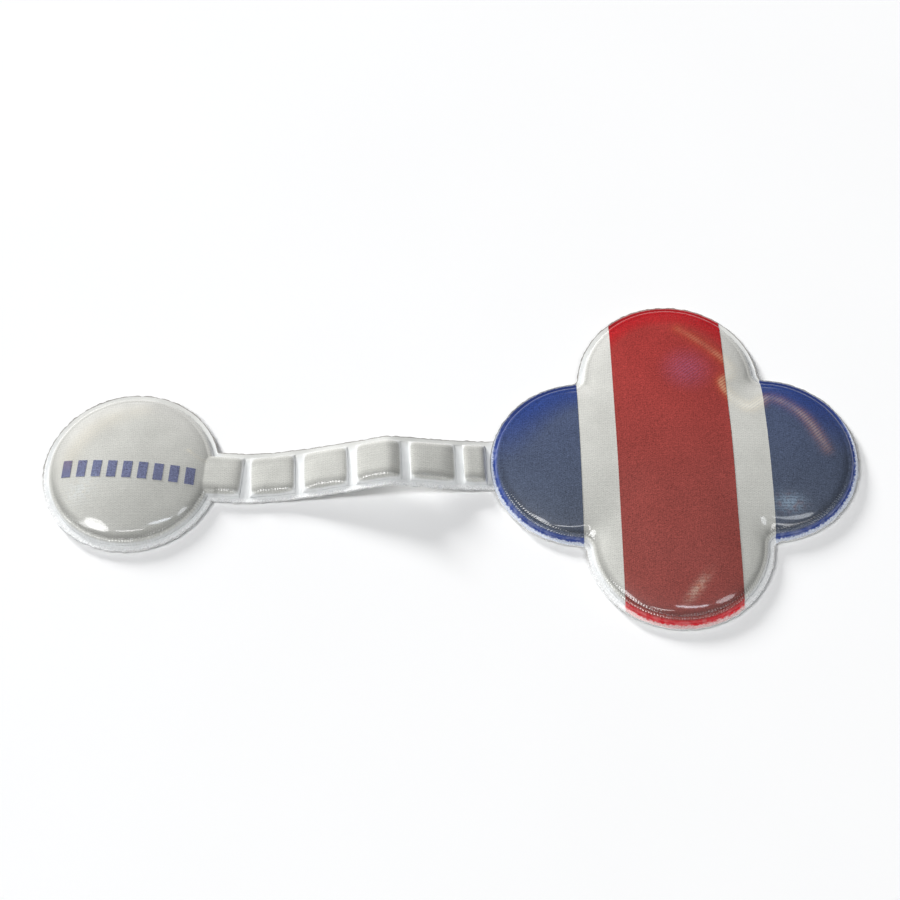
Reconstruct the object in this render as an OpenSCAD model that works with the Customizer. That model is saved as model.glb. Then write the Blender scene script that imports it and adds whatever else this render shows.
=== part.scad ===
// Soft reflector tag with a magnet in each head, lying on its back with the strap arched
// The big head's middle is the origin, +X points away from the strap and +Z away from the floor

/* [Big head] */
// Distance of each lobe's centre from the middle of the head
lobe_offset = 20; // [16:0.5:24]
// Radius of each lobe at its trimmed edge
lobe_r = 20.2; // [20:0.1:26]
// Radius of the fillet in each notch between two lobes
notch_fillet = 1.5; // [0.6:0.1:3]
// Rise of the front pocket from its shoulder to its crown
big_crown = 3.2; // [1:0.1:6]

/* [Small head] */
// Radius of the round head at its trimmed edge
small_r = 19.5; // [15:0.5:26]
// Rise of the front pocket from its shoulder to its crown
small_crown = 2.4; // [1:0.1:6]
// Turn of the head and of the open cell against the strap, in degrees
small_turn = -7; // [-12:0.5:12]

/* [Strap] */
// Width of the strap over its trimmed edges
strap_w = 12; // [9:0.5:18]
// Number of weld lines across the strap
weld_count = 5; // [4:1:9]
// Distance from one weld line to the next
cell_pitch = 11.7; // [8:0.1:16]
// Width of a weld line
weld_line = 1.7; // [1:0.1:3]
// Length of the open cell, from the small head's edge to the first weld line
open_cell = 6; // [4:0.5:14]
// Length from the last weld line to the big head's edge
last_cell = 6.7; // [5:0.1:14]
// Rise of the front of each cell above the weld lines
cell_rise = 1.5; // [0.5:0.1:3]
// Width of the weld flange along the strap's edges
strap_flange = 1.1; // [0.6:0.1:2]
// Slant of the strap's line against the X axis, in degrees
strap_slant = 2; // [-6:0.5:6]

/* [Arch of the strap] */
// Height of the crest above the flat heads
crest_rise = 5; // [0:0.1:12]
// Distance of the crest from the big head's edge
crest_to_head = 21.8; // [10:0.1:26]
// Length that lies flat between the first weld line and the foot of the arch
flat_l = 6.1; // [0:0.1:10]
// How hollow the ramps are, where 1 is straight
ramp_ease = 1.3; // [1:0.05:2]

/* [Films] */
// Thickness of each film
film_t = 0.35; // [0.2:0.05:0.5]
// Width of the weld flange round the heads
head_flange = 1.15; // [0.8:0.05:2]
// Width of the front pocket's rounded shoulder
shoulder_w = 1.2; // [0.8:0.1:1.6]
// Height of the front pocket's rounded shoulder
shoulder_rise = 1.7; // [0.8:0.1:3]
// Depth of the back film's panels below the weld flange
back_depth = 0.45; // [0.2:0.05:0.8]

/* [Magnets] */
// Diameter of the disc magnet in the big head
big_magnet_d = 18; // [10:1:24]
// Diameter of the disc magnet in the small head
small_magnet_d = 15; // [10:1:24]
// Thickness of both magnets
magnet_t = 2; // [1:0.1:2.8]
// Chamfer on the magnets' edges
magnet_chamfer = 0.3; // [0.1:0.05:0.4]

/* [Print] */
// Thickness of the ink
ink_t = 0.1; // [0.05:0.01:0.15]
// Width of the red band up the middle of the big head
red_band = 25; // [10:1:32]
// Width of the bare band on each side of the red one
bare_band = 8; // [2:0.5:10]
// Width of each blue bar in the row across the small head
bar_w = 2; // [1:0.1:2.6]
// Height of each bar
bar_h = 4; // [1:0.1:8]
// Distance from one bar to the next
bar_pitch = 3.4; // [3:0.1:6]
// Bare distance from the pocket's shoulder to the row's ends, at least
bar_margin = 2.4; // [0.5:0.1:8]
// Distance of the row from the middle of the head, towards the far side
bar_row = -1.6; // [-4:0.1:4]

/* [Hidden] */
FRONT = 1;
BACK = -1;
$fn = 96;

// Height at which the two films are welded together
seam_z = back_depth + film_t;
// The strap leaves the big head on the axis of one lobe and bends at the first weld line
strap_run = (weld_count - 1) * cell_pitch + last_cell;
small_heading = strap_slant + small_turn;
big_edge = [-(lobe_offset + lobe_r), 0];
first_weld = big_edge - strap_run * [cos(strap_slant), sin(strap_slant)];
small_centre = first_weld - (open_cell + small_r) * [cos(small_heading), sin(small_heading)];

// A rounded pillow profile, 1 in the middle and 0 from the edge on
function pillow(u) = abs(u) < 1 ? sqrt(1 - pow(u, 4)) : 0;

// Spots across a pillow, closer together towards its edges
pillow_spots = [for (turn = [-90:30:90]) sin(turn)];

// Places across the strap, from its near edge to its far edge
cell_half_w = strap_w / 2 - strap_flange;
across = concat([-strap_w / 2], cell_half_w * pillow_spots, [strap_w / 2]);
last_across = len(across) - 1;

// Height of the arched strap at a distance from the first weld line
crest_at = strap_run - crest_to_head;
function arch(s) =
    let (ramp = s < crest_at ? crest_at - flat_l : crest_to_head)
    crest_rise * pow(max(0, 1 - abs(s - crest_at) / ramp), ramp_ease);

// Place on the strap: s along it from the first weld line, v across it
function strap_place(s, v) =
    let (heading = s < 0 ? small_heading : strap_slant)
    first_weld + s * [cos(heading), sin(heading)] + v * [-sin(heading), cos(heading)];

// Rows across the strap, each as [distance along it, middle of its cell, half length of its cell]
open_half = open_cell - weld_line / 2;
cell_half = (cell_pitch - weld_line) / 2;
last_half = (last_cell - weld_line) / 2;
last_mid = strap_run - last_cell / 2;
strap_rows = concat(
    [for (u = [0.3, 0.6, 0.85, 1]) [u * open_half - open_cell, -open_cell, open_half]],
    [for (k = [0:weld_count - 2], u = pillow_spots)
        let (mid = (k + 0.5) * cell_pitch) [mid + u * cell_half, mid, cell_half]],
    [for (u = pillow_spots) [last_mid + u * last_half, last_mid, last_half]]
);

// One surface of the strap, off from the seam on one side of it
function strap_points(side, off) =
    let (rise = side == FRONT ? cell_rise : back_depth, grow = off - film_t)
    [for (row = strap_rows, v = across)
        let (spot = strap_place(row[0], v),
            cell = pillow((row[0] - row[1]) / (row[2] + grow)) * pillow(v / (cell_half_w + grow)))
        [spot[0], spot[1], seam_z + arch(row[0]) + side * (off + rise * cell)]];

// A head is [centre, heading of its strap, offset of its lobes, radius, front crown, is it open to the strap]
small_head = [small_centre, small_heading, 0, small_r, small_crown, true];
big_head = [[0, 0], 180, lobe_offset, lobe_r, big_crown, false];

// Where a fillet of this radius sits on the diagonal between two lobes, along X and along Y alike
function notch_place(head, r, fillet) =
    let (reach = r + fillet) (head[2] + sqrt(2 * reach * reach - head[2] * head[2])) / 2;

// Distance from a head's middle to its outline, moved inwards by an inset
function outline(head, a, inset) =
    let (lobe = head[2], r = head[3] - inset, fillet = notch_fillet + inset)
    lobe == 0 ? r :
    let (turn = abs(a - 90 * round(a / 90)),
        notch = notch_place(head, r, fillet),
        share = r / (r + fillet),
        root = sqrt(2) * notch)
    turn > atan2(share * notch, lobe + share * (notch - lobe))
        ? root * cos(45 - turn) - sqrt(fillet * fillet - pow(root * sin(45 - turn), 2))
        : lobe * cos(turn) + sqrt(r * r - pow(lobe * sin(turn), 2));

// Polar angles of points on one lobe's arc, whose own angles run from one value to another
function arc_angles(head, axis, from, to, steps) =
    [for (i = [0:steps]) let (b = from + (to - from) * i / steps)
        axis + atan2(head[3] * sin(b), head[2] + head[3] * cos(b))];

// Polar angles round a head: first across the strap's root, then round the free outline
function root_angles(head) =
    [for (v = across) atan2(v, head[2] + sqrt(head[3] * head[3] - v * v))];
function free_angles(head) =
    let (root = asin(strap_w / 2 / head[3]),
        place = notch_place(head, head[3], notch_fillet),
        notch = atan2(place, place - head[2]),
        all = head[2] == 0 ? arc_angles(head, 0, root, 360 - root, 44) : concat(
            arc_angles(head, 0, root, notch, 7),
            [for (k = [1:3]) each concat([90 * k - 45], arc_angles(head, 90 * k, -notch, notch, 15))],
            [315],
            arc_angles(head, 360, -notch, -root, 7)))
    [for (i = [1:len(all) - 2]) all[i] < 0 ? all[i] + 360 : all[i]];
function head_angles(head) = concat(root_angles(head), free_angles(head));

// Turns along the shoulder's quarter arc at which it has a ring
shoulder_turns = [0, 30, 60, 90];

// Places of two rings in the list below: the trimmed edge and the top of the shoulder
edge_ring = 0;
shoulder_ring = len(shoulder_turns);

// Rings of a pocket from the trimmed edge inwards, each as [inset, share of the outline, rise]
function pocket_rings(head, side, off) =
    let (foot = head_flange + film_t - off,
        shoulder = head_flange + shoulder_w,
        rise = side == FRONT ? shoulder_rise : back_depth,
        crown = side == FRONT ? head[4] : 0,
        shares = side == FRONT ? [0.75, 0.5, 0.25] : [])
    concat(
        [[0, 1, 0]],
        [for (turn = shoulder_turns) [foot + (shoulder - foot) * (1 - cos(turn)), 1, rise * sin(turn)]],
        [for (share = shares) [shoulder, share, rise + crown * (1 - share * share)]],
        [[shoulder, 0, rise + crown]]
    );

// One surface of a head, off from the seam on one side of it, ring by ring with its middle last
function head_points(head, side, off) =
    let (angles = head_angles(head),
        rings = pocket_rings(head, side, off),
        cell = side == FRONT ? cell_rise : back_depth)
    [for (ring = rings, i = ring[1] == 0 ? [0] : [0:len(angles) - 1])
        let (a = angles[i],
            reach = ring[1] * outline(head, a, ring[0]),
            channel = head[5] && i <= last_across
                ? cell * pillow(reach * sin(a) / (cell_half_w + off - film_t)) : 0)
        [head[0][0] + reach * cos(head[1] + a),
            head[0][1] + reach * sin(head[1] + a),
            seam_z + side * (off + max(ring[2], channel))]];

// Two triangles for the quad whose corners run anticlockwise when seen from outside
function quad(p, q, r, s) = [[p, r, q], [p, s, r]];

// Triangles of a head's surface whose points start at an index, seen from above
function head_faces(base, n, rings) =
    let (middle = base + n * rings)
    [for (i = [0:rings - 1], j = [0:n - 1])
        let (p = base + i * n + j, q = base + i * n + (j + 1) % n)
        each i < rings - 1 ? quad(p, q, q + n, p + n) : [[p, middle, q]]];

function flipped(faces) = [for (f = faces) [f[2], f[1], f[0]]];
function moved(faces, by) = [for (f = faces) [for (i = f) i + by]];

// Triangles of the wall between an upper loop and the same loop below it
function wall_faces(loop, by) =
    [for (i = [0:len(loop) - 1])
        let (p = loop[i], q = loop[(i + 1) % len(loop)])
        each quad(p + by, q + by, q, p)];

// A closed skin between two surfaces that share one net of triangles
module skin(upper, lower, faces, loop) {
    polyhedron(
        points = concat(upper, lower),
        faces = concat(faces, moved(flipped(faces), len(upper)), wall_faces(loop, len(upper)))
    );
}

// One welded film: both heads and the strap between them as one sheet
module film(side) {
    n_small = len(head_angles(small_head));
    n_big = len(head_angles(big_head));
    rings = len(pocket_rings(big_head, side, film_t)) - 1;
    big_base = n_small * rings + 1;
    strap_base = big_base + n_big * rings + 1;
    n_rows = len(strap_rows);

    // The strap's first and last rows are the roots on the heads' own edges
    function strap_index(i, j) =
        i < 0 ? j : i == n_rows ? big_base + last_across - j : strap_base + i * (last_across + 1) + j;

    strap_faces = [for (i = [-1:n_rows - 1], j = [0:last_across - 1])
        each quad(strap_index(i, j), strap_index(i + 1, j),
            strap_index(i + 1, j + 1), strap_index(i, j + 1))];
    faces = concat(head_faces(0, n_small, rings), head_faces(big_base, n_big, rings), strap_faces);
    loop = concat(
        [for (j = [last_across:n_small - 1]) j],
        [0],
        [for (i = [0:n_rows - 1]) strap_index(i, 0)],
        [for (j = [last_across:n_big - 1]) big_base + j],
        [big_base],
        [for (i = [n_rows - 1:-1:0]) strap_index(i, last_across)]
    );

    function surface_points(off) =
        concat(head_points(small_head, side, off), head_points(big_head, side, off), strap_points(side, off));
    outer = surface_points(film_t);
    inner = surface_points(0);
    skin(side == FRONT ? outer : inner, side == FRONT ? inner : outer, faces, loop);
}

// A layer of ink on one head's front, from one of its rings inwards, to be cut to the printed shapes
module ink_layer(head, first_ring) {
    n = len(head_angles(head));
    rings = len(pocket_rings(head, FRONT, film_t)) - 1;
    function inner_points(off) =
        let (points = head_points(head, FRONT, off))
        [for (i = [n * first_ring:len(points) - 1]) points[i]];
    skin(
        inner_points(film_t + ink_t),
        inner_points(film_t),
        head_faces(0, n, rings - first_ring),
        [for (j = [0:n - 1]) j]
    );
}

// A block from the floor up, past the crowns, for cutting print to its outline
module cutter(size) {
    linear_extrude(2 * seam_z + film_t + shoulder_rise + max(big_crown, small_crown) + 1)
        square(size, center = true);
}

// Disc magnet with chamfered edges, standing on the back film's panel
module magnet(d) {
    r = d / 2;
    c = magnet_chamfer;
    translate([0, 0, film_t])
        rotate_extrude()
            polygon([[0, 0], [r - c, 0], [r, c], [r, magnet_t - c], [r - c, magnet_t], [0, magnet_t]]);
}

// Prismatic front film with its raised pockets and strap cells
module front_film() {
    color("gainsboro") film(FRONT);
}

// Plain back film with its shallow flat panels
module back_film() {
    color("whitesmoke") film(BACK);
}

module big_magnet() {
    color("silver") magnet(big_magnet_d);
}

module small_magnet() {
    color("silver") translate(small_centre) magnet(small_magnet_d);
}

// Red band up the middle of the big head
module red_print() {
    color("firebrick") intersection() {
        ink_layer(big_head, edge_ring);
        cutter([red_band, 3 * (lobe_offset + lobe_r)]);
    }
}

// Blue sides of the big head and the row of bars on the small one
module blue_print() {
    side_w = lobe_offset + lobe_r;
    row_half = small_r - head_flange - shoulder_w - bar_margin;
    bars_each_side = floor((row_half - bar_w / 2) / bar_pitch);
    color("royalblue") {
        intersection() {
            ink_layer(big_head, edge_ring);
            for (end = [-1, 1])
                translate([end * (red_band / 2 + bare_band + side_w / 2), 0])
                    cutter([side_w, 3 * side_w]);
        }
        intersection() {
            ink_layer(small_head, shoulder_ring);
            translate(small_centre) rotate(small_heading)
                for (i = [-bars_each_side:bars_each_side])
                    translate([i * bar_pitch, bar_row])
                        cutter([bar_w, bar_h]);
        }
    }
}

front_film();
back_film();
big_magnet();
small_magnet();
red_print();
blue_print();
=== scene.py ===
"""Looks for a soft reflector tag: two welded films, two inks, two magnets, a floor and a studio."""

import math

import bmesh
import bpy
import numpy as np
from mathutils import Matrix, Vector


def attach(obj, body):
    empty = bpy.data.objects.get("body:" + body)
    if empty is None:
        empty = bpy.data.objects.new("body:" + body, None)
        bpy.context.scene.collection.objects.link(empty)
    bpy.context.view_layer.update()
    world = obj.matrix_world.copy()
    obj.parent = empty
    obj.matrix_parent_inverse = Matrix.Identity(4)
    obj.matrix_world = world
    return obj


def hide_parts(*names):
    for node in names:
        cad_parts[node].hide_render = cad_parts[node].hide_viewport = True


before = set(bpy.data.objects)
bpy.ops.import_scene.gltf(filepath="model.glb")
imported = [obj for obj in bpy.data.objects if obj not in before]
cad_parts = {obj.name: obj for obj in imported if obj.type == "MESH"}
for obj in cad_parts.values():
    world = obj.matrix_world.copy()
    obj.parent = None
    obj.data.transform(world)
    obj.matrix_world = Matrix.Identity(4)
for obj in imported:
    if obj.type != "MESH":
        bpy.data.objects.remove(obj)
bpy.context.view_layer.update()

# Lengths are in millimetres until a mesh, a lamp or the camera is made
MM = 0.001

# Form of the tag, as in the frame
LOBE_OFFSET = 20.0
LOBE_R = 20.2
NOTCH_FILLET = 1.5
BIG_CROWN = 3.2
SMALL_R = 19.5
SMALL_CROWN = 2.4
SMALL_TURN = math.radians(-7)
STRAP_W = 12.0
WELD_COUNT = 5
CELL_PITCH = 11.7
WELD_LINE = 1.7
OPEN_CELL = 6.0
LAST_CELL = 6.7
CELL_RISE = 1.5
STRAP_FLANGE = 1.1
STRAP_SLANT = math.radians(2)
CREST_RISE = 5.0
CREST_TO_HEAD = 21.8
FLAT_L = 6.1
RAMP_EASE = 1.3
CREST_ROUND = 0.8
FILM_T = 0.35
HEAD_FLANGE = 1.15
SHOULDER_W = 1.2
SHOULDER_RISE = 1.7
BACK_DEPTH = 0.45
INK_T = 0.1
RED_BAND = 25.0
BARE_BAND = 8.0
BAR_W = 2.0
BAR_H = 4.0
BAR_PITCH = 3.4
BAR_ROW = -1.6
BARS_EACH_SIDE = 4

# What the scene adds to that form: a roll above the shoulder, slack in the film, a wavy flange and an
# uneven cut. The slack fades out at the shoulder, and the valleys between the lobes round off inwards
ROLL_H = 0.6
ROLL_W = 2.0
FILM_SLACK = 0.16
SLACK_FADE = 6
VALLEY_FADE = 5
FLANGE_WAVE = 0.06
CUT_JITTER = 0.18

# Fixed sines for what is uneven, each as its length, angle and phase
SLACK_SEEDS = [(31, 0.5, 0.4), (19, 2.1, 1.7), (14, 1.2, 4.0), (23, 2.8, 2.2), (11, 0.1, 5.1)]
CUT_SEEDS = [(2.9, 0.3, 0.2), (1.9, 1.9, 1.3), (1.5, 1.0, 3.3), (1.3, 2.6, 4.1), (1.6, 0.6, 0.7)]
FLANGE_SEEDS = [(9, 0.2, 0.9), (6, 1.4, 2.0), (7.5, 2.5, 5.0)]

# Slack folds in the closed cells of the strap, from the first: place along the cell as a share of its
# half length, lean of the fold, slope beyond it and the end of the cell that it drops towards
CELL_FOLDS = [(-0.15, 0.5, 0.14, -1), (-0.2, 0.45, 0.14, -1), (0.45, -0.1, 0.16, 1), (0.4, 0.15, 0.14, 1)]
FOLD_ROUND = 0.5
DEEPEST_FOLD = 0.6

# Soft folds of the slack front film, from a head's middle: points, width, height and brightness of the
# painted highlight along each fold
BIG_FOLDS = [([(3, 33), (9, 28), (14.2, 22), (11.6, 18), (14, 13.8), (17.5, 11.6), (22.4, 14.4),
               (29, 9.5), (33.5, 1)], 1.35, 0.12, 0.85)]
SMALL_FOLDS = [([(-14, 2), (-10, 8.4), (-5, 12.6), (2, 15.5)], 2.6, 0.16, 0.35),
               ([(12.8, 3.6), (15.3, 1.8), (17.8, 1.2)], 0.35, 0.1, 0.9)]

# Spots of painted glint, where the prisms would throw light back, from a head's middle: place, heading,
# half sizes and brightness
BIG_PAINTED_GLINTS = [((24.2, -12.4), 0.0, (3.0, 2.0), 0.8), ((2.4, -32.4), 0.9, (3.6, 1.0), 0.9)]
SMALL_PAINTED_GLINTS = [((-10.6, -6.1), 0.8, (4.0, 2.5), 0.4)]
# Middle and reach of a painted violet sheen on the big head
VIOLET_SHEEN_AT = (4.0, 21.5)
VIOLET_SHEEN_R = 7.5

# Where the painted highlight line at the foot of a pocket starts, peaks and ends, as shares of the pocket's
# rise, and how many times faster than its rise a cell takes on the look of a pocket
FOOT_HIGHLIGHT = (0.0, 0.16, 0.4)
CELL_FOOT_HIGHLIGHT = (0.0, 0.5, 1.0)
CELL_FULL = 1.7

# What each point carries for its material: its distance in from the cut edge, how far it is up a pocket,
# how near it is to the pocket's foot, how far its edge faces away from the camera's side, its place
# along the edge, and how bright the painted highlights along the folds and the painted glints are there
MASKS = ("inset", "pocket", "foot", "facing", "along", "glow", "spark")

# How finely the meshes are drawn
FINE_SPOTS = np.sin(np.linspace(-np.pi / 2, np.pi / 2, 25))
LOBE_STEPS = 92
ROUND_STEPS = 270
EDGE_STEPS = 1440
SHOULDER_STEPS = 10
SHOWN_SHARES = 1 - np.linspace(0, 1, 48)[1:-1] ** 1.3
HIDDEN_SHARES = 1 - np.linspace(0, 1, 12)[1:-1]
SHARP_ANGLE = math.radians(50)

# What follows from the form
FRONT = 1
BACK = -1
SEAM_Z = BACK_DEPTH + FILM_T
STRAP_RUN = (WELD_COUNT - 1) * CELL_PITCH + LAST_CELL
SMALL_HEADING = STRAP_SLANT + SMALL_TURN
SHOULDER = HEAD_FLANGE + SHOULDER_W
CELL_HALF_W = STRAP_W / 2 - STRAP_FLANGE
CREST_AT = STRAP_RUN - CREST_TO_HEAD
WALL_RISE = {FRONT: SHOULDER_RISE - ROLL_H, BACK: BACK_DEPTH}
CELL_DEPTH = {FRONT: CELL_RISE, BACK: BACK_DEPTH}


def heading(angle):
    return np.array([math.cos(angle), math.sin(angle)])


FIRST_WELD = np.array([-LOBE_OFFSET - LOBE_R, 0.0]) - STRAP_RUN * heading(STRAP_SLANT)
SMALL_CENTRE = FIRST_WELD - (OPEN_CELL + SMALL_R) * heading(SMALL_HEADING)
SMALL_HEAD = {"centre": SMALL_CENTRE, "turn": SMALL_HEADING, "lobe": 0.0, "r": SMALL_R,
              "crown": SMALL_CROWN, "open": True, "folds": SMALL_FOLDS, "painted_glints": SMALL_PAINTED_GLINTS}
BIG_HEAD = {"centre": np.zeros(2), "turn": math.pi, "lobe": LOBE_OFFSET, "r": LOBE_R,
            "crown": BIG_CROWN, "open": False, "folds": BIG_FOLDS, "painted_glints": BIG_PAINTED_GLINTS}


def waves(x, y, seeds):
    """A gentle uneven field between -1 and 1, from a few fixed sines."""
    field = np.zeros_like(x)
    for length, angle, phase in seeds:
        field += np.sin((x * math.cos(angle) + y * math.sin(angle)) * 2 * math.pi / length + phase)
    return field / len(seeds)


def pillow(u):
    """Share of its full height that a pillow-shaped cell has, from 1 in its middle to 0 at its rim."""
    return np.sqrt(np.clip(1 - u ** 4, 0, None))


def arch(s):
    """Height of the strap's arch at a distance from the first weld line."""
    away = np.sqrt((s - CREST_AT) ** 2 + CREST_ROUND ** 2) - CREST_ROUND / 2
    ramp = np.where(s < CREST_AT, CREST_AT - FLAT_L, CREST_TO_HEAD)
    return CREST_RISE * np.clip(1 - away / ramp, 0, 1) ** RAMP_EASE


def strap_place(s, v):
    """Plan position at a distance along the strap from the first weld line, and across it."""
    angle = np.where(s < 0, SMALL_HEADING, STRAP_SLANT)
    x = FIRST_WELD[0] + s * np.cos(angle) - v * np.sin(angle)
    y = FIRST_WELD[1] + s * np.sin(angle) + v * np.cos(angle)
    return x, y


def notch_place(head, r, fillet):
    """How far the middle of the fillet between two lobes is along each axis of a head."""
    reach = r + fillet
    return (head["lobe"] + np.sqrt(2 * reach ** 2 - head["lobe"] ** 2)) / 2


def outline(head, a, inset):
    """Distance from a head's middle to its outline, moved inwards by an inset."""
    lobe = head["lobe"]
    r = head["r"] - inset
    if lobe == 0:
        return r + 0 * a
    fillet = NOTCH_FILLET + inset
    turn = np.abs(a - np.pi / 2 * np.round(a / (np.pi / 2)))
    notch = notch_place(head, r, fillet)
    share = r / (r + fillet)
    tangent = np.arctan2(share * notch, lobe + share * (notch - lobe))
    root = math.sqrt(2) * notch
    off_axis = np.pi / 4 - turn
    aside = root * np.sin(off_axis)
    in_notch = root * np.cos(off_axis) - np.sqrt(np.clip(fillet ** 2 - aside ** 2, 0, None))
    on_lobe = lobe * np.cos(turn) + np.sqrt(np.clip(r ** 2 - (lobe * np.sin(turn)) ** 2, 0, None))
    return np.where(turn > tangent, in_notch, on_lobe)


def across_places():
    """Places across the strap, from its near edge to its far edge."""
    rim = np.linspace(STRAP_W / 2, CELL_HALF_W, 5)[:-1]
    return np.concatenate([-rim, CELL_HALF_W * FINE_SPOTS, rim[::-1]])


ACROSS = across_places()

# The first places round a head are those across the strap's root
AT_ROOT = slice(len(ACROSS))


def arc_angles(head, axis, start, end, steps):
    """Polar angles of evenly spaced places on the arc of one lobe."""
    b = np.linspace(start, end, steps + 1)
    return axis + np.arctan2(head["r"] * np.sin(b), head["lobe"] + head["r"] * np.cos(b))


def head_angles(head):
    """Polar angles round a head: first across the strap's root, then round the free outline."""
    root_angles = np.arctan2(ACROSS, head["lobe"] + np.sqrt(head["r"] ** 2 - ACROSS ** 2))
    root = math.asin(STRAP_W / 2 / head["r"])
    if head["lobe"] == 0:
        free = arc_angles(head, 0, root, 2 * math.pi - root, ROUND_STEPS)
    else:
        place = notch_place(head, head["r"], NOTCH_FILLET)
        notch = math.atan2(place, place - head["lobe"])
        fillet_turns = np.array([-0.012, 0.0, 0.012])
        stretches = [arc_angles(head, 0, root, notch, LOBE_STEPS // 2)]
        for k in (1, 2, 3):
            stretches.append(k * math.pi / 2 - math.pi / 4 + fillet_turns)
            stretches.append(arc_angles(head, k * math.pi / 2, -notch, notch, LOBE_STEPS))
        stretches.append(7 * math.pi / 4 + fillet_turns)
        stretches.append(arc_angles(head, 2 * math.pi, -notch, -root, LOBE_STEPS // 2))
        free = np.concatenate(stretches)
    return np.concatenate([root_angles, free[1:-1]])


def pocket_rings(side, off, shares):
    """Rings of a pocket from the trimmed edge inwards: inset, share of the outline and shoulder rise."""
    foot = HEAD_FLANGE + FILM_T - off
    rise = WALL_RISE[side]
    rings = [(inset, 1.0, 0.0) for inset in np.linspace(0, foot, 6)[:-1]]
    for turn in np.linspace(0, math.pi / 2, SHOULDER_STEPS + 1):
        rings.append((foot + (SHOULDER - foot) * (1 - math.cos(turn)), 1.0, rise * math.sin(turn)))
    return rings + [(SHOULDER, share, rise) for share in shares]


def crown_rise(head, a, reach, share):
    """Rise of a head's front from the top of its shoulder to its crown, with soft valleys."""
    if share == 1:
        return 0 * a
    inner = outline(head, a, SHOULDER)
    soft = (inner.max() + inner.min()) / 2 + (inner.max() - inner.min()) / 2 * np.cos(4 * a)
    sharp = share ** VALLEY_FADE
    level = reach * (sharp / inner + (1 - sharp) / soft)
    inside = (1 - share) * inner
    return head["crown"] * (1 - level ** 2) + ROLL_H * (1 - np.exp(-inside / ROLL_W))


def smooth_path(points, steps=8):
    """A path that curves smoothly through points."""
    given = np.array(points, dtype=float)
    spots = [2 * given[0] - given[1], *given, 2 * given[-1] - given[-2]]
    path = []
    for a, b, c, d in zip(spots, spots[1:], spots[2:], spots[3:]):
        for t in np.arange(steps) / steps:
            path.append((2 * b + (c - a) * t + (2 * a - 5 * b + 4 * c - d) * t ** 2
                         + (3 * b - 3 * c + d - a) * t ** 3) / 2)
    return path + [given[-1]]


def from_path(x, y, path):
    """Distance from places to a path of straight runs."""
    best = np.full_like(x, np.inf)
    for (px, py), (qx, qy) in zip(path, path[1:]):
        run = np.array([qx - px, qy - py])
        along = np.clip(((x - px) * run[0] + (y - py) * run[1]) / (run @ run), 0, 1)
        best = np.minimum(best, np.hypot(x - px - along * run[0], y - py - along * run[1]))
    return best


def folds_and_painted_light(head, x, y):
    """Height that a head's folds add to its film, and how bright the painted highlights along its folds and
    its painted glints are.
    """
    dx = x - head["centre"][0]
    dy = y - head["centre"][1]
    rise = np.zeros_like(x)
    glow = np.zeros_like(x)
    spark = np.zeros_like(x)
    for points, width, height, brightness in head["folds"]:
        near = np.exp(-((from_path(dx, dy, smooth_path(points)) / width) ** 2))
        rise += height * near
        glow = np.maximum(glow, brightness * near)
    for (at_x, at_y), turn, (half_l, half_w), brightness in head["painted_glints"]:
        along = ((dx - at_x) * math.cos(turn) + (dy - at_y) * math.sin(turn)) / half_l
        aside = ((dy - at_y) * math.cos(turn) - (dx - at_x) * math.sin(turn)) / half_w
        spark = np.maximum(spark, brightness * np.exp(-(along ** 2 + aside ** 2)))
    return rise, glow, spark


def outward_y(head, a):
    """How far the outline faces away from the camera's side at each polar angle, from -1 to 1."""
    fine = np.linspace(0, 2 * np.pi, EDGE_STEPS + 1)
    reach = outline(head, fine, 0)
    x = reach * np.cos(fine + head["turn"])
    y = reach * np.sin(fine + head["turn"])
    facing = -np.gradient(x) / np.hypot(np.gradient(x), np.gradient(y))
    return np.interp(a % (2 * np.pi), fine, facing)


def along_edge(head, a):
    """Distance along the top of the shoulder at each polar angle."""
    reach = outline(head, a, SHOULDER)
    steps = np.hypot(np.diff(reach * np.cos(a)), np.diff(reach * np.sin(a)))
    return np.concatenate([[0], np.cumsum(steps)])


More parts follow.
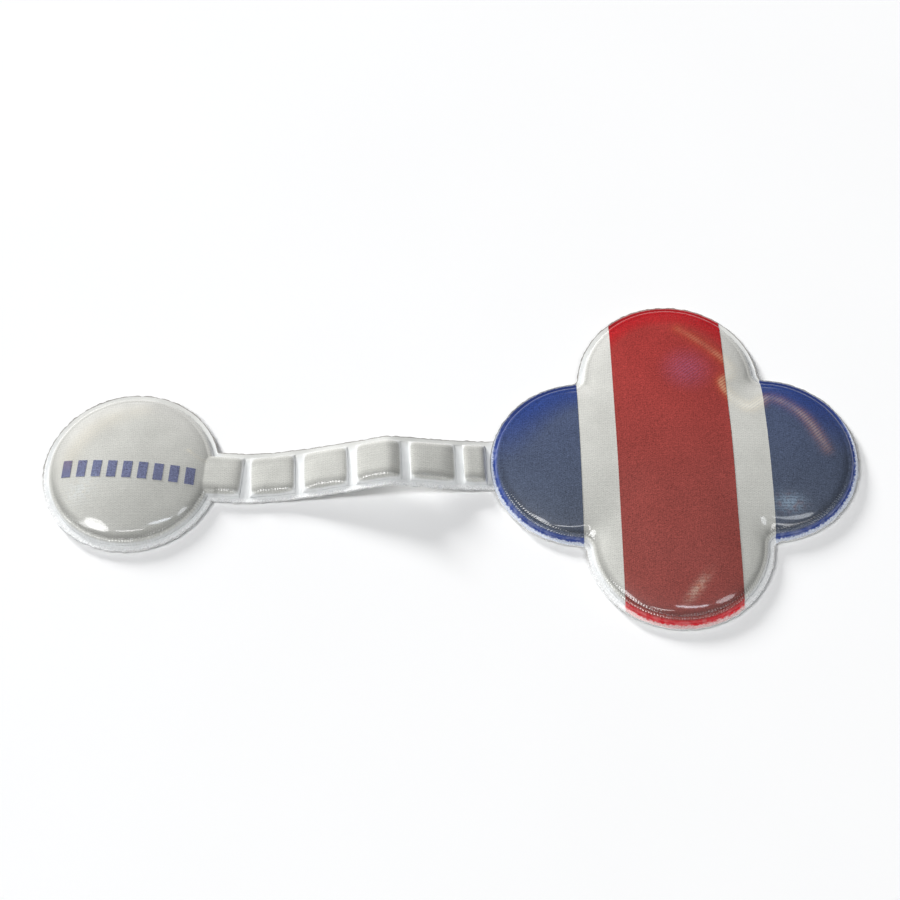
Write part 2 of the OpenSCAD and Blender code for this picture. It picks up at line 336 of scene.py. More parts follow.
def head_surface(head, side, off, shares=SHOWN_SHARES, printed=False):
    """Points of one surface of a head, ring by ring with its middle last, and the masks of each point.

    At the strap's root the cut edge is the strap's own, except in what is printed on the head.
    """
    a = head_angles(head)
    away = outward_y(head, a)
    along = along_edge(head, a)
    free = np.arange(len(a)) >= len(ACROSS)
    points, masks = [], {mask: [] for mask in MASKS}
    for inset, share, rise in pocket_rings(side, off, shares):
        reach = share * outline(head, a, inset)
        v = reach[AT_ROOT] * np.sin(a[AT_ROOT])
        inner = 1 - share ** SLACK_FADE
        z = np.full_like(a, rise)
        pocket = np.clip(z / WALL_RISE[side], 0, 1)
        if side == FRONT:
            z += crown_rise(head, a, reach, share)
        if head["open"]:
            channel = pillow(v / (CELL_HALF_W + off - FILM_T))
            z[AT_ROOT] = np.maximum(z[AT_ROOT], CELL_DEPTH[side] * channel)
            pocket[AT_ROOT] = np.maximum(pocket[AT_ROOT], np.clip(CELL_FULL * channel, 0, 1))
        x = head["centre"][0] + reach * np.cos(head["turn"] + a)
        y = head["centre"][1] + reach * np.sin(head["turn"] + a)
        if inset == 0:
            trim = CUT_JITTER * waves(x, y, CUT_SEEDS) * free
            x = x - trim * np.cos(head["turn"] + a)
            y = y - trim * np.sin(head["turn"] + a)
        fold_rise, glow, spark = folds_and_painted_light(head, x, y)
        if side == FRONT:
            z = z + (FILM_SLACK * waves(x, y, SLACK_SEEDS) + fold_rise) * inner
        wave = FLANGE_WAVE * waves(x, y, FLANGE_SEEDS) * (1 - pocket) * (inset > 0)
        points.append(np.stack([x, y, SEAM_Z + side * (off + z) + wave], axis=1))
        from_edge = np.full_like(a, inset) + (1 - share) * reach / share
        if not printed:
            from_edge[AT_ROOT] = np.maximum(from_edge[AT_ROOT], STRAP_W / 2 - np.abs(v))
        foot = np.interp(pocket, FOOT_HIGHLIGHT, (0, 1, 0))
        values = (from_edge, pocket, foot, away, along, glow * inner, spark * inner)
        for mask, value in zip(MASKS, values):
            masks[mask].append(value)
    middle = np.array([[*head["centre"], points[-1][:, 2].mean()]])
    for mask, value in zip(MASKS, (head["r"], 1.0, 0.0, 0.0, 0.0, 0.0, 0.0)):
        masks[mask].append([value])
    return np.concatenate(points + [middle]), {mask: np.concatenate(masks[mask]) for mask in MASKS}


def strap_rows():
    """Rows across the strap: distance along it, middle of the cell and half length of the cell."""
    rows = []
    half = OPEN_CELL - WELD_LINE / 2
    for u in np.sin(np.linspace(0.1, math.pi / 2, 12)):
        rows.append((u * half - OPEN_CELL, -OPEN_CELL, half))
    closed = [((k + 0.5) * CELL_PITCH, CELL_PITCH) for k in range(WELD_COUNT - 1)]
    for middle, pitch in closed + [(STRAP_RUN - LAST_CELL / 2, LAST_CELL)]:
        half = (pitch - WELD_LINE) / 2
        rows += [(middle + u * half, middle, half) for u in FINE_SPOTS]
    return np.array(rows)


STRAP_ROWS = strap_rows()


def cell_fold(s, v, middle, half):
    """How far the slack folds lower the front of the strap's cells."""
    drop = np.zeros(np.broadcast(s, v).shape)
    for k, (place, lean, slope, way) in enumerate(CELL_FOLDS):
        in_cell = np.abs(middle - (k + 0.5) * CELL_PITCH) < 0.1
        past = way * (s - middle - place * half - lean * v)
        drop = drop + in_cell * slope * (past + np.sqrt(past ** 2 + FOLD_ROUND ** 2)) / 2
    return drop


def strap_surface(side, off):
    """Points of one surface of the strap, row by row, and the masks of each point."""
    grow = off - FILM_T
    rise = CELL_DEPTH[side]
    s, middle, half = (STRAP_ROWS[:, i : i + 1] for i in range(3))
    v = ACROSS[None, :]
    cell = pillow((s - middle) / (half + grow)) * pillow(v / (CELL_HALF_W + grow))
    x, y = strap_place(s + 0 * v, v + 0 * s)
    trim = CUT_JITTER * waves(x, y, CUT_SEEDS) * (np.abs(v) == STRAP_W / 2) * np.sign(v)
    y = y - trim
    height = rise * cell
    if side == FRONT:
        height = cell * (rise - np.minimum(cell_fold(s, v, middle, half), DEEPEST_FOLD * rise))
    wave = FLANGE_WAVE * waves(x, y, FLANGE_SEEDS) * (1 - cell)
    z = SEAM_Z + arch(s) + side * (off + height) + wave
    inset = STRAP_W / 2 - np.abs(v) + 0 * s
    facing = (v / (STRAP_W / 2)) ** 3 + 0 * s
    pocket = np.clip(CELL_FULL * cell, 0, 1)
    foot = np.interp(pocket, CELL_FOOT_HIGHLIGHT, (0, 1, 0))
    values = (inset, pocket, foot, facing, s + 0 * v, 0 * cell, 0 * cell)
    points = np.stack([x, y, z], axis=2).reshape(-1, 3)
    return points, {mask: value.ravel() for mask, value in zip(MASKS, values)}


def head_faces(base, n, rings):
    """Faces of a head's surface seen from above, whose points start at an index."""
    faces = []
    for i in range(rings - 1):
        for j in range(n):
            p = base + i * n + j
            q = base + i * n + (j + 1) % n
            faces.append((p, q, q + n, p + n))
    last = base + (rings - 1) * n
    faces += [(last + j, last + (j + 1) % n, base + n * rings) for j in range(n)]
    return faces


def close_skin(upper, lower, count):
    """Faces of a closed skin, from the faces and edge loop of its upper and of its lower surface."""
    (upper_faces, p), (lower_faces, q) = upper, lower
    q = [i + count for i in q]
    wall = [(q[i], q[i + 1], p[i + 1], p[i]) for i in range(-1, len(p) - 1)]
    return upper_faces + [tuple(i + count for i in reversed(f)) for f in lower_faces] + wall


def make_piece(name, points, faces, masks, material, *nodes):
    """A piece that carries its masks, rides on the root and stands in for nodes of the frame."""
    mesh = bpy.data.meshes.new(name)
    mesh.from_pydata([tuple(p) for p in points * MM], [], faces)
    for mask, values in masks.items():
        attribute = mesh.attributes.new(mask, "FLOAT", "POINT")
        attribute.data.foreach_set("value", np.asarray(values, dtype=np.float32))
    mesh.validate()
    mesh.update()
    mesh.shade_smooth()
    mesh.set_sharp_from_angle(angle=SHARP_ANGLE)
    mesh.materials.append(material)
    piece = bpy.data.objects.new(name, mesh)
    bpy.context.collection.objects.link(piece)
    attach(piece, "root")
    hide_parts(*nodes)
    return piece


def film_net(side, shares):
    """Faces of one surface of a whole film and the loop of points round its edge."""
    n_small = len(head_angles(SMALL_HEAD))
    n_big = len(head_angles(BIG_HEAD))
    rings = len(pocket_rings(side, FILM_T, shares))
    big_base = n_small * rings + 1
    strap_base = big_base + n_big * rings + 1
    n_rows = len(STRAP_ROWS)
    last = len(ACROSS) - 1

    def strap_index(i, j):
        if i < 0:
            return j
        if i == n_rows:
            return big_base + last - j
        return strap_base + i * len(ACROSS) + j

    faces = head_faces(0, n_small, rings) + head_faces(big_base, n_big, rings)
    for i in range(-1, n_rows):
        for j in range(last):
            faces.append((strap_index(i, j), strap_index(i + 1, j),
                          strap_index(i + 1, j + 1), strap_index(i, j + 1)))
    loop = list(range(last, n_small)) + [0]
    loop += [strap_index(i, 0) for i in range(n_rows)]
    loop += [big_base + j for j in range(last, n_big)] + [big_base]
    loop += [strap_index(i, last) for i in reversed(range(n_rows))]
    return faces, loop


def film(name, side, material, node):
    """One welded film as a closed skin: both heads and the strap."""
    layers = [(FILM_T, SHOWN_SHARES), (0.0, HIDDEN_SHARES)]
    if side == BACK:
        layers.reverse()
    parts, nets, counts = [], [], []
    for off, shares in layers:
        surfaces = [head_surface(SMALL_HEAD, side, off, shares), head_surface(BIG_HEAD, side, off, shares),
                    strap_surface(side, off)]
        parts += surfaces
        nets.append(film_net(side, shares))
        counts.append(sum(len(surface[0]) for surface in surfaces))
    points = np.concatenate([part[0] for part in parts])
    masks = {mask: np.concatenate([part[1][mask] for part in parts]) for mask in MASKS}
    return make_piece(name, points, close_skin(*nets, counts[0]), masks, material, node)


def ink_sheet(head):
    """The top of the ink over a whole head, whose points carry their masks and the way down to the film."""
    upper, masks = head_surface(head, FRONT, FILM_T + INK_T, printed=True)
    lower = head_surface(head, FRONT, FILM_T)[0]
    sheet = bmesh.new()
    layers = {mask: sheet.verts.layers.float.new(mask) for mask in MASKS}
    drop = sheet.verts.layers.float_vector.new("drop")
    verts = []
    for i, (p, q) in enumerate(zip(upper, lower)):
        v = sheet.verts.new(p)
        for mask in MASKS:
            v[layers[mask]] = masks[mask][i]
        v[drop] = q - p
        verts.append(v)
    for f in head_faces(0, len(head_angles(head)), len(pocket_rings(FRONT, FILM_T, SHOWN_SHARES))):
        sheet.faces.new([verts[i] for i in f])
    return sheet


def keep_window(sheet, centre, turn, size):
    """Cut away what lies outside a turned rectangle in plan."""
    along = Vector((*heading(turn), 0))
    aside = Vector((-along.y, along.x, 0))
    for axis, half in ((along, size[0] / 2), (aside, size[1] / 2)):
        for way in (-1, 1):
            edge = Vector((*centre, 0)) + axis * half * way
            bmesh.ops.bisect_plane(sheet, geom=sheet.verts[:] + sheet.edges[:] + sheet.faces[:],
                                   plane_co=edge, plane_no=axis * way, clear_outer=True, dist=1e-5)
    sheet.verts.ensure_lookup_table()
    sheet.verts.index_update()


def add_ink(skin, sheet):
    """Add a cut sheet to a skin of ink: its top, the underside and the walls between them."""
    points, faces, masks = skin
    drop = sheet.verts.layers.float_vector["drop"]
    base = len(points)
    count = len(sheet.verts)
    points += [tuple(v.co) for v in sheet.verts] + [tuple(v.co + v[drop]) for v in sheet.verts]
    for mask in MASKS:
        layer = sheet.verts.layers.float[mask]
        masks[mask] += [v[layer] for v in sheet.verts] * 2
    top = [tuple(v.index + base for v in f.verts) for f in sheet.faces]
    faces += top + [tuple(i + count for i in reversed(f)) for f in top]
    for edge in sheet.edges:
        if edge.is_boundary:
            loop = edge.link_loops[0]
            p = loop.vert.index + base
            q = loop.link_loop_next.vert.index + base
            faces.append((p + count, q + count, q, p))


def ink_skin(fields):
    """Points, faces and masks of one ink, from each head that it is on and its windows there.

    A window is a turned rectangle in plan: its centre, its turn and its size.
    """
    points, faces, masks = [], [], {mask: [] for mask in MASKS}
    for head, windows in fields:
        whole = ink_sheet(head)
        for window in windows:
            sheet = whole.copy()
            keep_window(sheet, *window)
            add_ink((points, faces, masks), sheet)
            sheet.free()
        whole.free()
    return np.array(points), faces, masks


# Length of one wave of the wave node at a scale of 1
WAVE_UNIT = math.pi / 10


class Nodes:
    """A material's node tree, with short calls for what the materials here need."""

    def __init__(self, name):
        self.material = bpy.data.materials.new(name)
        self.material.use_nodes = True
        self.tree = self.material.node_tree
        self.shader = self.tree.nodes["Principled BSDF"]
        self.place = self.add("ShaderNodeTexCoord").outputs["Object"]

    def add(self, kind, **settings):
        node = self.tree.nodes.new(kind)
        for key, value in settings.items():
            setattr(node, key, value)
        return node

    def feed(self, socket, value):
        if isinstance(value, bpy.types.NodeSocket):
            self.tree.links.new(value, socket)
        else:
            socket.default_value = value

    def math(self, operation, *values):
        node = self.add("ShaderNodeMath", operation=operation)
        for socket, value in zip(node.inputs, values):
            self.feed(socket, value)
        return node.outputs[0]

    def plus(self, a, b):
        return self.math("ADD", a, b)

    def minus(self, a, b):
        return self.math("SUBTRACT", a, b)

    def times(self, a, b):
        return self.math("MULTIPLY", a, b)

    def reach(self, x, y):
        return self.math("SQRT", self.plus(self.times(x, x), self.times(y, y)))

    def mask(self, name):
        return self.add("ShaderNodeAttribute", attribute_name=name).outputs["Fac"]

    def ramp(self, value, low, high, to_low=0.0, to_high=1.0):
        """A soft step from one value to another, as the given value goes from low to high."""
        node = self.add("ShaderNodeMapRange", interpolation_type="SMOOTHSTEP")
        for socket, given in zip(node.inputs, (value, low, high, to_low, to_high)):
            self.feed(socket, given)
        return node.outputs[0]

    def mix(self, share, a, b):
        node = self.add("ShaderNodeMix", data_type="RGBA")
        self.feed(node.inputs["Factor"], share)
        self.feed(node.inputs["A"], (*a, 1) if isinstance(a, tuple) else a)
        self.feed(node.inputs["B"], (*b, 1) if isinstance(b, tuple) else b)
        return node.outputs["Result"]

    def tinted(self, colour, tone):
        node = self.add("ShaderNodeVectorMath", operation="SCALE")
        self.feed(node.inputs[0], colour)
        self.feed(node.inputs["Scale"], tone)
        return node.outputs[0]

    def noise(self, pitch, detail=2.0):
        node = self.add("ShaderNodeTexNoise")
        node.inputs["Scale"].default_value = 1 / (pitch * MM)
        node.inputs["Detail"].default_value = detail
        self.feed(node.inputs["Vector"], self.place)
        return node.outputs["Fac"]

    def lines(self, pitch, turn):
        """Straight lines at a pitch, whose value runs from 0 to 1 across each."""
        turned = self.add("ShaderNodeMapping")
        turned.inputs["Rotation"].default_value = (0, 0, turn)
        self.feed(turned.inputs["Vector"], self.place)
        node = self.add("ShaderNodeTexWave", wave_type="BANDS", bands_direction="X", wave_profile="SIN")
        node.inputs["Scale"].default_value = WAVE_UNIT / (pitch * MM)
        self.feed(node.inputs["Vector"], turned.outputs["Vector"])
        return node.outputs["Fac"]

    def plan_mm(self):
        """Place along the frame's X and Y, in millimetres."""
        split = self.add("ShaderNodeSeparateXYZ")
        self.feed(split.inputs[0], self.place)
        return [self.times(split.outputs[axis], 1 / MM) for axis in "XY"]

    def bump(self, height, depth, normal=None):
        node = self.add("ShaderNodeBump")
        node.inputs["Strength"].default_value = 1.0
        node.inputs["Distance"].default_value = depth * MM
        self.feed(node.inputs["Height"], height)
        if normal is not None:
            self.feed(node.inputs["Normal"], normal)
        return node.outputs["Normal"]


def srgb(r, g, b):
    """A colour given as it looks on screen, from 0 to 255, as the linear one that shaders take."""
    return tuple(c / 255 / 12.92 if c <= 10 else ((c / 255 + 0.055) / 1.055) ** 2.4 for c in (r, g, b))


# Pitch and turn of the lines in the films, and pitch of the strokes across their shoulders
HATCH_PITCH = 0.42
HATCH_TURNS = [math.radians(angle) for angle in (0, 60, 120)]
WEAVE_PITCH = 0.7
WEAVE_TURN = math.radians(90)
STREAK_PITCH = 0.62
STREAK_TURN = math.radians(50)
RIB_PITCH = 0.62

# Pitch of what is uneven in the films
MOTTLE = 7.0
GRAIN = 0.32
FINE_GRAIN = 0.22
# The next two break up the painted highlight along the folds and the painted glints
FOLD_LIGHT_MOTTLE = 5.0
GLINT_MOTTLE = 1.1
WELD_MOTTLE = 1.6
# The next one breaks up the painted highlight line at the foot of each pocket
FOOT_HIGHLIGHT_MOTTLE = 1.4
FROST_MOTTLE = 0.6
RIB_DRIFT = 2.6
GLOSS_WAVE = 4.5

# How far the strokes drift along the shoulder, in radians of their pitch
RIB_SWAY = 9.0

# Depth of the relief in the films
RIB_DEPTH = 0.018
GLOSS_DEPTH = 0.035
GRAIN_DEPTH = 0.06
HATCH_DEPTH = 0.012

# Width of the frosty edge on the camera's side and on the far one, and how soft it is on either side
NEAR_FROST_W = 0.66
FAR_FROST_W = 0.22
FROST_SOFT = 0.2

# Where along Y the painted deepening of a pocket's colour away from the camera starts, and where it is half
# deep
DEEP_FROM = -25
DEEP_TO = 45

# Colour of the painted violet sheen
VIOLET_SHEEN = srgb(160, 96, 134)
# Colour and strength of the painted shade along the cut edge
CUT_SHADE = srgb(112, 104, 92)
CUT_SHADE_SHARE = 0.85


class FilmNodes(Nodes):
    """The node tree of a film or an ink, with the masks and the textures that its layers share.

    A film is gloss over a milky prismatic layer, colour-soaked where it is welded and frosty at the cut.
    """

    def __init__(self, name):
        super().__init__(name)
        (self.inset, self.pocket, self.foot, self.facing, self.along, self.glow,
         self.spark) = (self.mask(mask) for mask in MASKS)
        self.x, self.y = self.plan_mm()
        self.hatch = self.prism_hatch()
        self.weave = self.lines(WEAVE_PITCH, WEAVE_TURN)
        self.streaks = self.lines(STREAK_PITCH, STREAK_TURN)
        self.mottle = self.noise(MOTTLE, detail=3.0)
        self.grain = self.noise(GRAIN, detail=1.5)

    def prism_hatch(self):
        """Three sets of lines at sixty degrees to each other, as on microprismatic film, from 0 to 1."""
        first, second, third = (self.lines(HATCH_PITCH, turn) for turn in HATCH_TURNS)
        return self.math("DIVIDE", self.plus(self.plus(first, second), third), 3.0)

    def milky(self, haze, deep, soak):
        """The milky colour of the pockets, deeper along their far side and towards the back: a painted
        change of the film's sheen away from the camera.
        """
        near_rim = self.ramp(self.inset, SHOULDER + soak, SHOULDER - 0.5)
        far_rim = self.times(near_rim, self.ramp(self.facing, -0.3, 0.8))
        towards_back = self.ramp(self.y, DEEP_FROM, DEEP_TO, 0.0, 0.5)
        return self.mix(self.math("MAXIMUM", far_rim, towards_back), haze, deep)

    def painted_violet_sheen(self, colour, strength):
        """A streaky violet sheen, painted round one place on the big head."""
        away = self.reach(self.minus(self.x, VIOLET_SHEEN_AT[0]), self.minus(self.y, VIOLET_SHEEN_AT[1]))
        streaky = self.ramp(self.streaks, 0.2, 0.8, 0.35 * strength, strength)
        return self.mix(self.times(self.ramp(away, VIOLET_SHEEN_R, 0.0), streaky), colour, VIOLET_SHEEN)

    def textured(self, colour, grit):
        """The mottle, the prisms and the weave of the film, and the shade just inside its shoulder."""
        tone = self.ramp(self.mottle, 0.3, 0.7, 0.95, 1.04)
        fine_grain = self.noise(FINE_GRAIN, detail=0.0)
        for texture, strength in ((self.hatch, 0.2 + 0.08 * grit), (self.grain, grit),
                                  (fine_grain, 0.5 * grit), (self.weave, 0.06)):
            tone = self.plus(tone, self.times(self.minus(texture, 0.5), strength))
        ring = self.times(self.ramp(self.inset, SHOULDER - 0.5, SHOULDER + 0.1),
                          self.ramp(self.inset, SHOULDER + 1.8, SHOULDER))
        shade = self.times(ring, self.ramp(self.facing, 0.5, -0.6, 0.05, 0.4))
        return self.tinted(colour, self.times(tone, self.minus(1.0, shade)))

    def with_painted_fold_light(self, colour, highlight_fringe, highlight_core):
        """Painted highlight: the streaky light that the slack folds would throw back."""
        thrown = self.plus(self.times(self.streaks, 0.7), self.times(self.grain, 0.7))
        bright = self.times(self.glow, self.ramp(thrown, 0.3, 0.9, 0.3, 1.0))
        bright = self.times(bright, self.ramp(self.noise(FOLD_LIGHT_MOTTLE), 0.3, 0.6, 0.5, 1.0))
        return self.mix(bright, colour, self.mix(self.ramp(self.glow, 0.2, 0.9), highlight_fringe, highlight_core))

    def with_painted_glints(self, colour, spark, highlight_fringe):
        """Painted glints: the speckled light that the prisms would throw back."""
        tinged = self.ramp(self.noise(GLINT_MOTTLE, detail=1.0), 0.45, 0.7, 0.0, 0.6)
        speckle = self.ramp(self.plus(self.grain, self.times(self.weave, 0.25)), 0.4, 0.8, 0.3, 1.0)
        return self.mix(self.times(self.spark, speckle), colour, self.mix(tinged, spark, highlight_fringe))

    def welded(self, colour, near_weld_lit, far_weld_shaded, frost):
        """The welded rim round the pockets, where the film is clear and its colour is full; its colour is
        painted lighter on the camera's side and darker on the far side, as painted light and shade.
        """
        worn = self.mix(self.ramp(self.noise(WELD_MOTTLE), 0.42, 0.7, 0.0, 0.2), near_weld_lit, frost)
        rim = self.mix(self.ramp(self.facing, 0.0, 0.8), worn, far_weld_shaded)
        rim = self.tinted(rim, self.ramp(self.mottle, 0.3, 0.7, 0.92, 1.04))
        return self.mix(self.ramp(self.pocket, 0.5, 0.95), rim, colour)

    def with_foot_highlight(self, colour, foot_highlight, frost):
        """A painted highlight line at the foot of each pocket, brightest on the camera's side."""
        lit = self.times(self.foot, self.ramp(self.facing, 0.5, -0.3, 0.3 * foot_highlight, foot_highlight))
        broken = self.ramp(self.noise(FOOT_HIGHLIGHT_MOTTLE), 0.35, 0.6, 0.5, 1.0)
        return self.mix(self.times(lit, broken), colour, frost)

    def frosty_edge(self):
        """How frosty the film is along its cut, from 0 to 1."""
        uneven = self.times(self.minus(self.noise(FROST_MOTTLE, detail=2.5), 0.5),
                            self.ramp(self.facing, -0.1, 0.6, 1.2, 0.3))
        width = self.ramp(self.facing, -0.1, 0.6, NEAR_FROST_W, FAR_FROST_W)
        return self.ramp(self.minus(self.plus(self.inset, uneven), width), FROST_SOFT, -FROST_SOFT)

    def frosted(self, colour, frosty, frost):
        return self.mix(frosty, colour, self.tinted(frost, self.ramp(self.grain, 0.35, 0.65, 0.84, 1.06)))

    def shaded_cut(self, colour):
        """A dark line painted along the cut on all but the camera's side of the tag, as painted shade of
        the cut edge.
        """
        at_cut = self.times(self.ramp(self.inset, 0.32, 0.05), self.ramp(self.facing, -0.45, 0.1))
        return self.mix(self.times(at_cut, CUT_SHADE_SHARE), colour, CUT_SHADE)

    def set_relief(self, frosty):
        """Strokes across the near shoulders, a slight wave in the gloss, and under it grain and prisms."""
        on_rim = self.times(self.ramp(self.inset, SHOULDER + 0.8, SHOULDER - 0.2),
                            self.ramp(self.inset, 0.5, 1.0))
        near_side = self.ramp(self.facing, 0.1, -0.35)
        turns = self.plus(self.times(self.along, 2 * math.pi / RIB_PITCH),
                          self.times(self.noise(RIB_DRIFT), RIB_SWAY))
        ribs = self.times(self.math("SINE", turns), self.times(on_rim, near_side))
        ribbed = self.bump(ribs, RIB_DEPTH)
        gloss = self.bump(self.noise(GLOSS_WAVE, detail=1.0), GLOSS_DEPTH, ribbed)
        self.feed(self.shader.inputs["Coat Normal"], gloss)
        crinkles = self.times(self.grain, self.ramp(frosty, 0, 1, 0.2, 1.0))
        crinkled = self.bump(crinkles, GRAIN_DEPTH, ribbed)
        self.feed(self.shader.inputs["Normal"], self.bump(self.hatch, HATCH_DEPTH, crinkled))


def film_material(name, haze, deep, near_weld_lit, far_weld_shaded, frost, highlight_fringe, highlight_core, spark, grit, soak=8.0, foot_highlight=0.0,
                  violet_sheen=0.0, faded=None):
    """A film or an ink.

    Its arguments are, in order: the milky colour of the pockets; their colour on the far side, painted
    deeper as a change of the film's sheen; the colour of the welded rim on the camera's side, painted
    lighter, and on the far side, painted darker, as painted light and shade; the colour of the cut edge;
    the fringe and the core colour of the painted highlights along the folds; the colour of the painted
    glints; how coarse the film looks; how far in the deep colour reaches; how bright the painted highlight
    at the foot of each pocket is;
    how strong a painted violet sheen is; and the colour of what is on the small head.
    """
    n = FilmNodes(name)
    colour = n.milky(haze, deep, soak)
    if violet_sheen:
        colour = n.painted_violet_sheen(colour, violet_sheen)
    if faded:
        on_small_head = n.math("LESS_THAN", n.x, SMALL_CENTRE[0] + SMALL_R)
        colour = n.mix(on_small_head, colour, faded)
    colour = n.textured(colour, grit)
    colour = n.with_painted_fold_light(colour, highlight_fringe, highlight_core)
    colour = n.with_painted_glints(colour, spark, highlight_fringe)
    colour = n.welded(colour, near_weld_lit, far_weld_shaded, frost)
    if foot_highlight:
        colour = n.with_foot_highlight(colour, foot_highlight, frost)
    frosty = n.frosty_edge()
    colour = n.frosted(colour, frosty, frost)
    n.feed(n.shader.inputs["Base Color"], n.shaded_cut(colour))
    n.feed(n.shader.inputs["Roughness"], n.ramp(frosty, 0, 1, 0.42, 0.6))
    n.shader.inputs["Specular IOR Level"].default_value = 0.3
    n.shader.inputs["Coat Weight"].default_value = 0.9
    n.shader.inputs["Coat Roughness"].default_value = 0.07
    n.set_relief(frosty)
    return n.material


def silver_film():
    return film_material("prismatic_film", haze=srgb(201, 201, 195), deep=srgb(209, 208, 203),
                         near_weld_lit=srgb(238, 240, 240), far_weld_shaded=srgb(222, 222, 218), frost=srgb(251, 252, 252),
                         highlight_fringe=srgb(226, 214, 190), highlight_core=srgb(236, 232, 220), spark=srgb(232, 238, 240),
                         grit=0.35, foot_highlight=0.9)


def milky_film():
    return film_material("back_film", haze=srgb(214, 215, 212), deep=srgb(214, 215, 212),
                         near_weld_lit=srgb(236, 237, 236), far_weld_shaded=srgb(232, 233, 232), frost=srgb(244, 245, 244),
                         highlight_fringe=srgb(214, 215, 212), highlight_core=srgb(220, 221, 218), spark=srgb(220, 221, 218),
                         grit=0.4)


def red_ink():
    return film_material("red_ink", haze=srgb(146, 70, 64), deep=srgb(176, 30, 36),
                         near_weld_lit=srgb(228, 44, 56), far_weld_shaded=srgb(166, 28, 34), frost=srgb(246, 214, 212),
                         highlight_fringe=srgb(200, 96, 54), highlight_core=srgb(222, 178, 140), spark=srgb(226, 206, 186),
                         grit=1.2, violet_sheen=0.45)


def blue_ink():
    return film_material("blue_ink", haze=srgb(81, 90, 107), deep=srgb(44, 64, 124),
                         near_weld_lit=srgb(64, 86, 160), far_weld_shaded=srgb(42, 58, 116), frost=srgb(224, 231, 244),
                         highlight_fringe=srgb(176, 122, 104), highlight_core=srgb(220, 208, 202), spark=srgb(176, 200, 222),
                         grit=1.4, soak=13.0, faded=srgb(114, 119, 150))


def nickel_plate():
    """Nickel plating with a fine satin."""
    n = Nodes("nickel_plate")
    n.shader.inputs["Metallic"].default_value = 1.0
    n.feed(n.shader.inputs["Base Color"], n.mix(n.noise(3.0), srgb(196, 194, 188), srgb(214, 212, 206)))
    n.feed(n.shader.inputs["Roughness"], n.ramp(n.noise(0.6), 0.3, 0.7, 0.2, 0.34))
    return n.material


def pale_floor():
    n = Nodes("pale_floor")
    n.feed(n.shader.inputs["Base Color"], n.mix(n.noise(60.0), srgb(250, 250, 250), srgb(253, 253, 253)))
    n.shader.inputs["Roughness"].default_value = 0.9
    return n.material


def make_films():
    film("front_skin", FRONT, silver_film(), "front_film")
    film("back_skin", BACK, milky_film(), "back_film")


def make_prints():
    """A red band between two blue sides on the big head, and a row of blue bars on the small one."""
    side_w = LOBE_OFFSET + LOBE_R
    tall = 3 * side_w
    middle = [((0, 0), 0.0, (RED_BAND, tall))]
    side_at = RED_BAND / 2 + BARE_BAND + side_w / 2
    sides = [((way * side_at, 0), 0.0, (side_w, tall)) for way in (-1, 1)]
    along = heading(SMALL_HEADING)
    aside = np.array([-along[1], along[0]])
    row = SMALL_CENTRE + BAR_ROW * aside
    bars = [(tuple(row + i * BAR_PITCH * along), SMALL_HEADING, (BAR_W, BAR_H))
            for i in range(-BARS_EACH_SIDE, BARS_EACH_SIDE + 1)]
    red = ink_skin([(BIG_HEAD, middle)])
    blue = ink_skin([(BIG_HEAD, sides), (SMALL_HEAD, bars)])
    make_piece("red_field", *red, red_ink(), "red_print")
    make_piece("blue_field", *blue, blue_ink(), "blue_print")


def dress_magnets():
    nickel = nickel_plate()
    for node in ("big_magnet", "small_magnet"):
        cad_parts[node].data.materials[0] = nickel


# Half the width of the floor, and how far below the tag it lies
FLOOR_HALF = 6000.0
FLOOR_GAP = 0.02


def make_floor():
    mesh = bpy.data.meshes.new("floor")
    corners = [(-1, -1), (1, -1), (1, 1), (-1, 1)]
    points = [Vector((x * FLOOR_HALF, y * FLOOR_HALF, -FLOOR_GAP)) * MM for x, y in corners]
    mesh.from_pydata(points, [], [(0, 1, 2, 3)])
    mesh.materials.append(pale_floor())
    floor = bpy.data.objects.new("floor", mesh)
    bpy.context.collection.objects.link(floor)


# The camera, from a fit to the photograph: where it looks, from where, and its focal length in pixels
CAMERA_AIM = Vector((-48.93, 4.31, 0.75))
CAMERA_AZIMUTH = math.radians(1.77)
CAMERA_ELEVATION = math.radians(60.26)
CAMERA_ROLL = math.radians(-2.80)
CAMERA_DISTANCE = 432.1
CAMERA_FOCUS_PX = 1959.8
PHOTO_PX = 900
SENSOR = 36.0
CLIP_START = 10.0


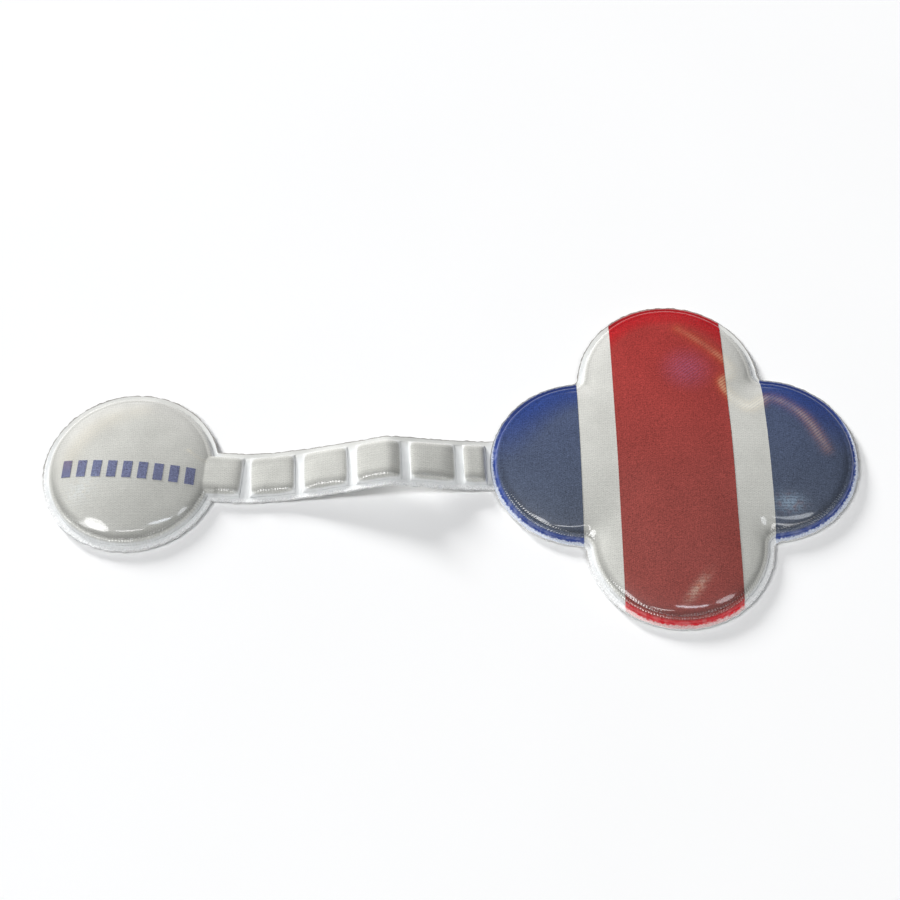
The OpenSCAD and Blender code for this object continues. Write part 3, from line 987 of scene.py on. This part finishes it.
def make_camera():
    level = math.cos(CAMERA_ELEVATION)
    back = Vector((math.sin(CAMERA_AZIMUTH) * level, -math.cos(CAMERA_AZIMUTH) * level,
                   math.sin(CAMERA_ELEVATION)))
    right = Vector((0, 0, 1)).cross(back).normalized()
    up = back.cross(right)
    c = math.cos(CAMERA_ROLL)
    s = math.sin(CAMERA_ROLL)
    right, up = c * right + s * up, -s * right + c * up
    data = bpy.data.cameras.new("camera")
    data.sensor_width = SENSOR
    data.lens = CAMERA_FOCUS_PX / PHOTO_PX * SENSOR
    data.clip_start = CLIP_START * MM
    camera = bpy.data.objects.new("camera", data)
    turned = Matrix((right, up, back)).transposed().to_4x4()
    camera.matrix_world = Matrix.Translation((CAMERA_AIM + back * CAMERA_DISTANCE) * MM) @ turned
    bpy.context.collection.objects.link(camera)
    bpy.context.scene.camera = camera


# How far the lamps are from the tag
LAMP_DISTANCE = 6000.0


def area_lamp(name, way, size, level, colour=(1, 1, 1), mirrored=True):
    """A soft oval lamp that looks at the tag from a direction.

    size is how wide and how tall it is seen from the tag, in radians. level is how bright it makes a
    white floor, where 1 is white, and mirrored is whether gloss shows it.
    """
    way = Vector(way).normalized()
    distance = LAMP_DISTANCE * MM
    data = bpy.data.lights.new(name, "AREA")
    data.shape = "ELLIPSE"
    data.size, data.size_y = (distance * angle for angle in size)
    data.energy = level * (math.pi * distance) ** 2 / way.z
    data.color = colour
    lamp = bpy.data.objects.new(name, data)
    lamp.visible_glossy = mirrored
    wide = Vector((0, 1, 0)).cross(way).normalized()
    turned = Matrix((wide, way.cross(wide), way)).transposed().to_4x4()
    lamp.matrix_world = Matrix.Translation(CAMERA_AIM * MM + way * distance) @ turned
    bpy.context.collection.objects.link(lamp)


def make_light():
    area_lamp("key", (-0.475, -0.17, 0.865), (0.34, 0.30), 0.25)
    area_lamp("tail", (-0.135, -0.24, 0.96), (0.3, 0.03), 0.03)
    area_lamp("fill", (0.155, -0.11, 0.98), (0.25, 0.06), 0.045, colour=(0.84, 0.91, 1.0))
    area_lamp("right", (0.42, -0.07, 0.905), (0.19, 0.13), 0.04, colour=(0.92, 0.96, 1.0))
    area_lamp("left_rim", (-0.56, -0.20, 0.805), (0.45, 0.18), 0.14)
    area_lamp("right_rim", (0.455, -0.375, 0.80), (0.55, 0.15), 0.13)
    area_lamp("window", (-0.585, 0.748, 0.32), (0.21, 0.21), 0.36, mirrored=False)
    world = bpy.data.worlds.new("studio")
    world.use_nodes = True
    background = world.node_tree.nodes["Background"]
    background.inputs["Color"].default_value = (0.97, 0.98, 1.0, 1)
    background.inputs["Strength"].default_value = 0.06
    bpy.context.scene.world = world


make_camera()
make_light()
make_floor()
make_films()
make_prints()
dress_magnets()
bpy.context.scene.view_settings.view_transform = "Standard"
